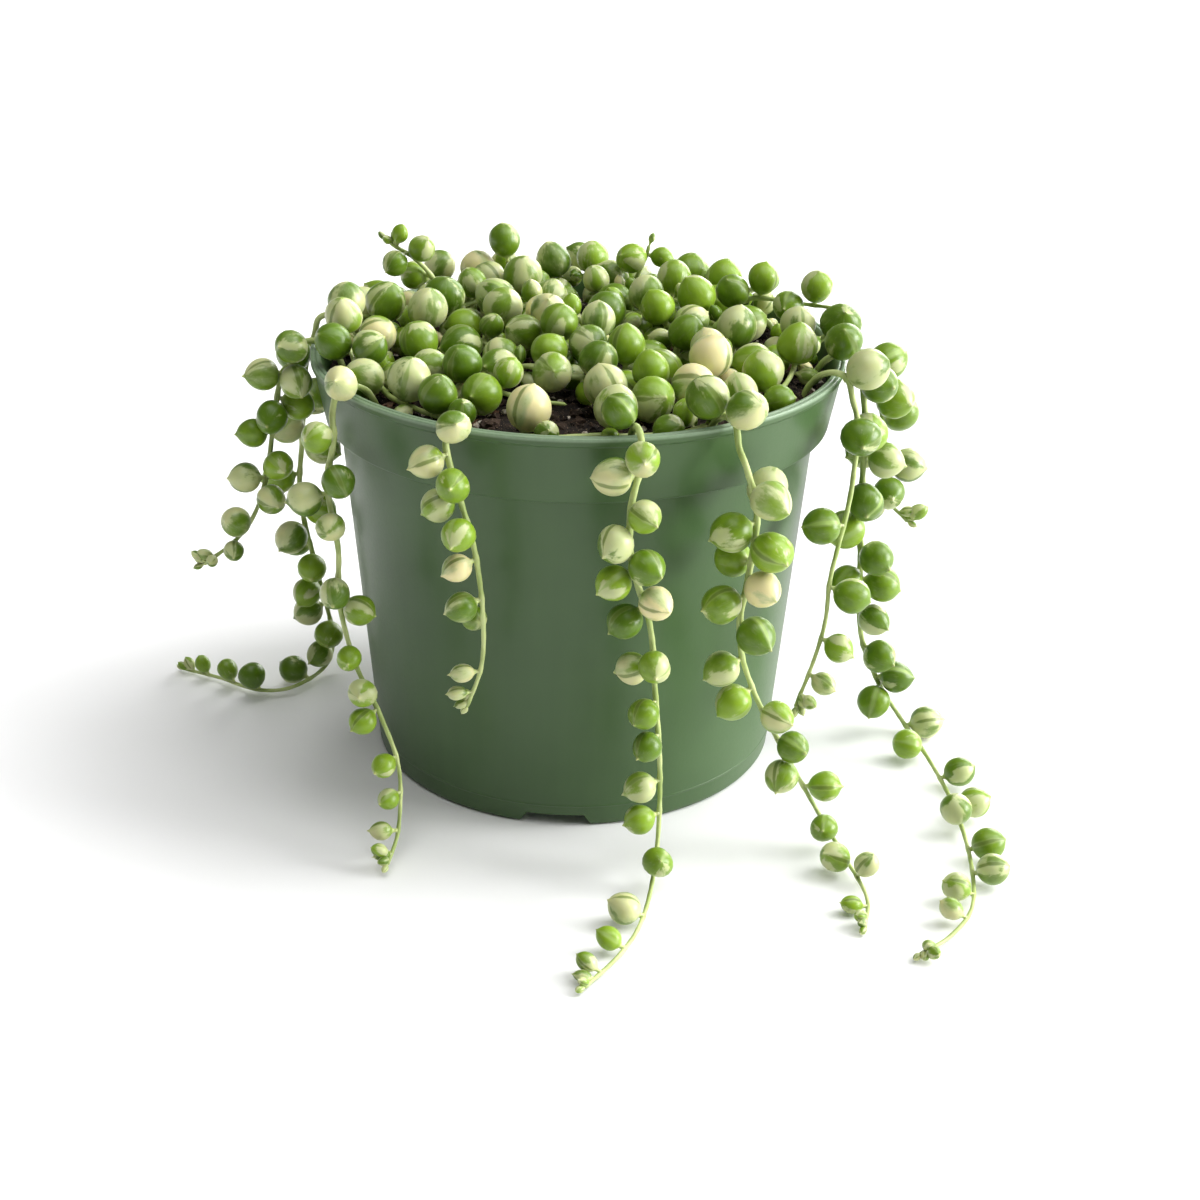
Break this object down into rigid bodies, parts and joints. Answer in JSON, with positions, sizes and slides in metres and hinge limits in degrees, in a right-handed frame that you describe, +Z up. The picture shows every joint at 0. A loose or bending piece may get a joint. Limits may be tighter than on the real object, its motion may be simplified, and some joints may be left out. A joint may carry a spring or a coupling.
{
  "type": "potted string of pearls",
  "caption": "Trailing succulent with bead-shaped leaves on thin stems: a low crown and hanging strands, rooted in soil in a round plastic grower pot.",
  "frame": {"origin": "middle of the pot's underside, on the surface that it stands on", "axes": "+Z up along the pot's axis, -Y towards the picture's viewer, +X to the viewer's right"},
  "size_m": [0.1759, 0.1649, 0.1071],
  "materials": {
    "pot": "satin",
    "soil": "matte",
    "foliage": "satin"
  },
  "bodies": {
    "root": {"creeping_stem_01": "foliage", "creeping_stem_02": "foliage", "creeping_stem_03": "foliage", "creeping_stem_04": "foliage", "creeping_stem_05": "foliage", "creeping_stem_06": "foliage", "creeping_stem_07": "foliage", "creeping_stem_08": "foliage", "creeping_stem_09": "foliage", "creeping_stem_10": "foliage", "creeping_stem_11": "foliage", "creeping_stem_12": "foliage", "creeping_stem_13": "foliage", "creeping_stem_14": "foliage", "pot": "pot", "shoot_back": "foliage", "shoot_back_left": "foliage", "shoot_back_middle": "foliage", "shoot_left": "foliage", "shoot_right": "foliage", "soil": "soil", "strand_back_left": "foliage", "strand_back_middle": "foliage", "strand_back_right": "foliage", "strand_front_left": "foliage", "strand_front_middle": "foliage", "strand_front_right": "foliage", "strand_left_back": "foliage", "strand_left_far": "foliage", "strand_left_front": "foliage", "strand_right_back": "foliage", "strand_right_inner": "foliage", "strand_right_long": "foliage"}
  },
  "joints": []
}
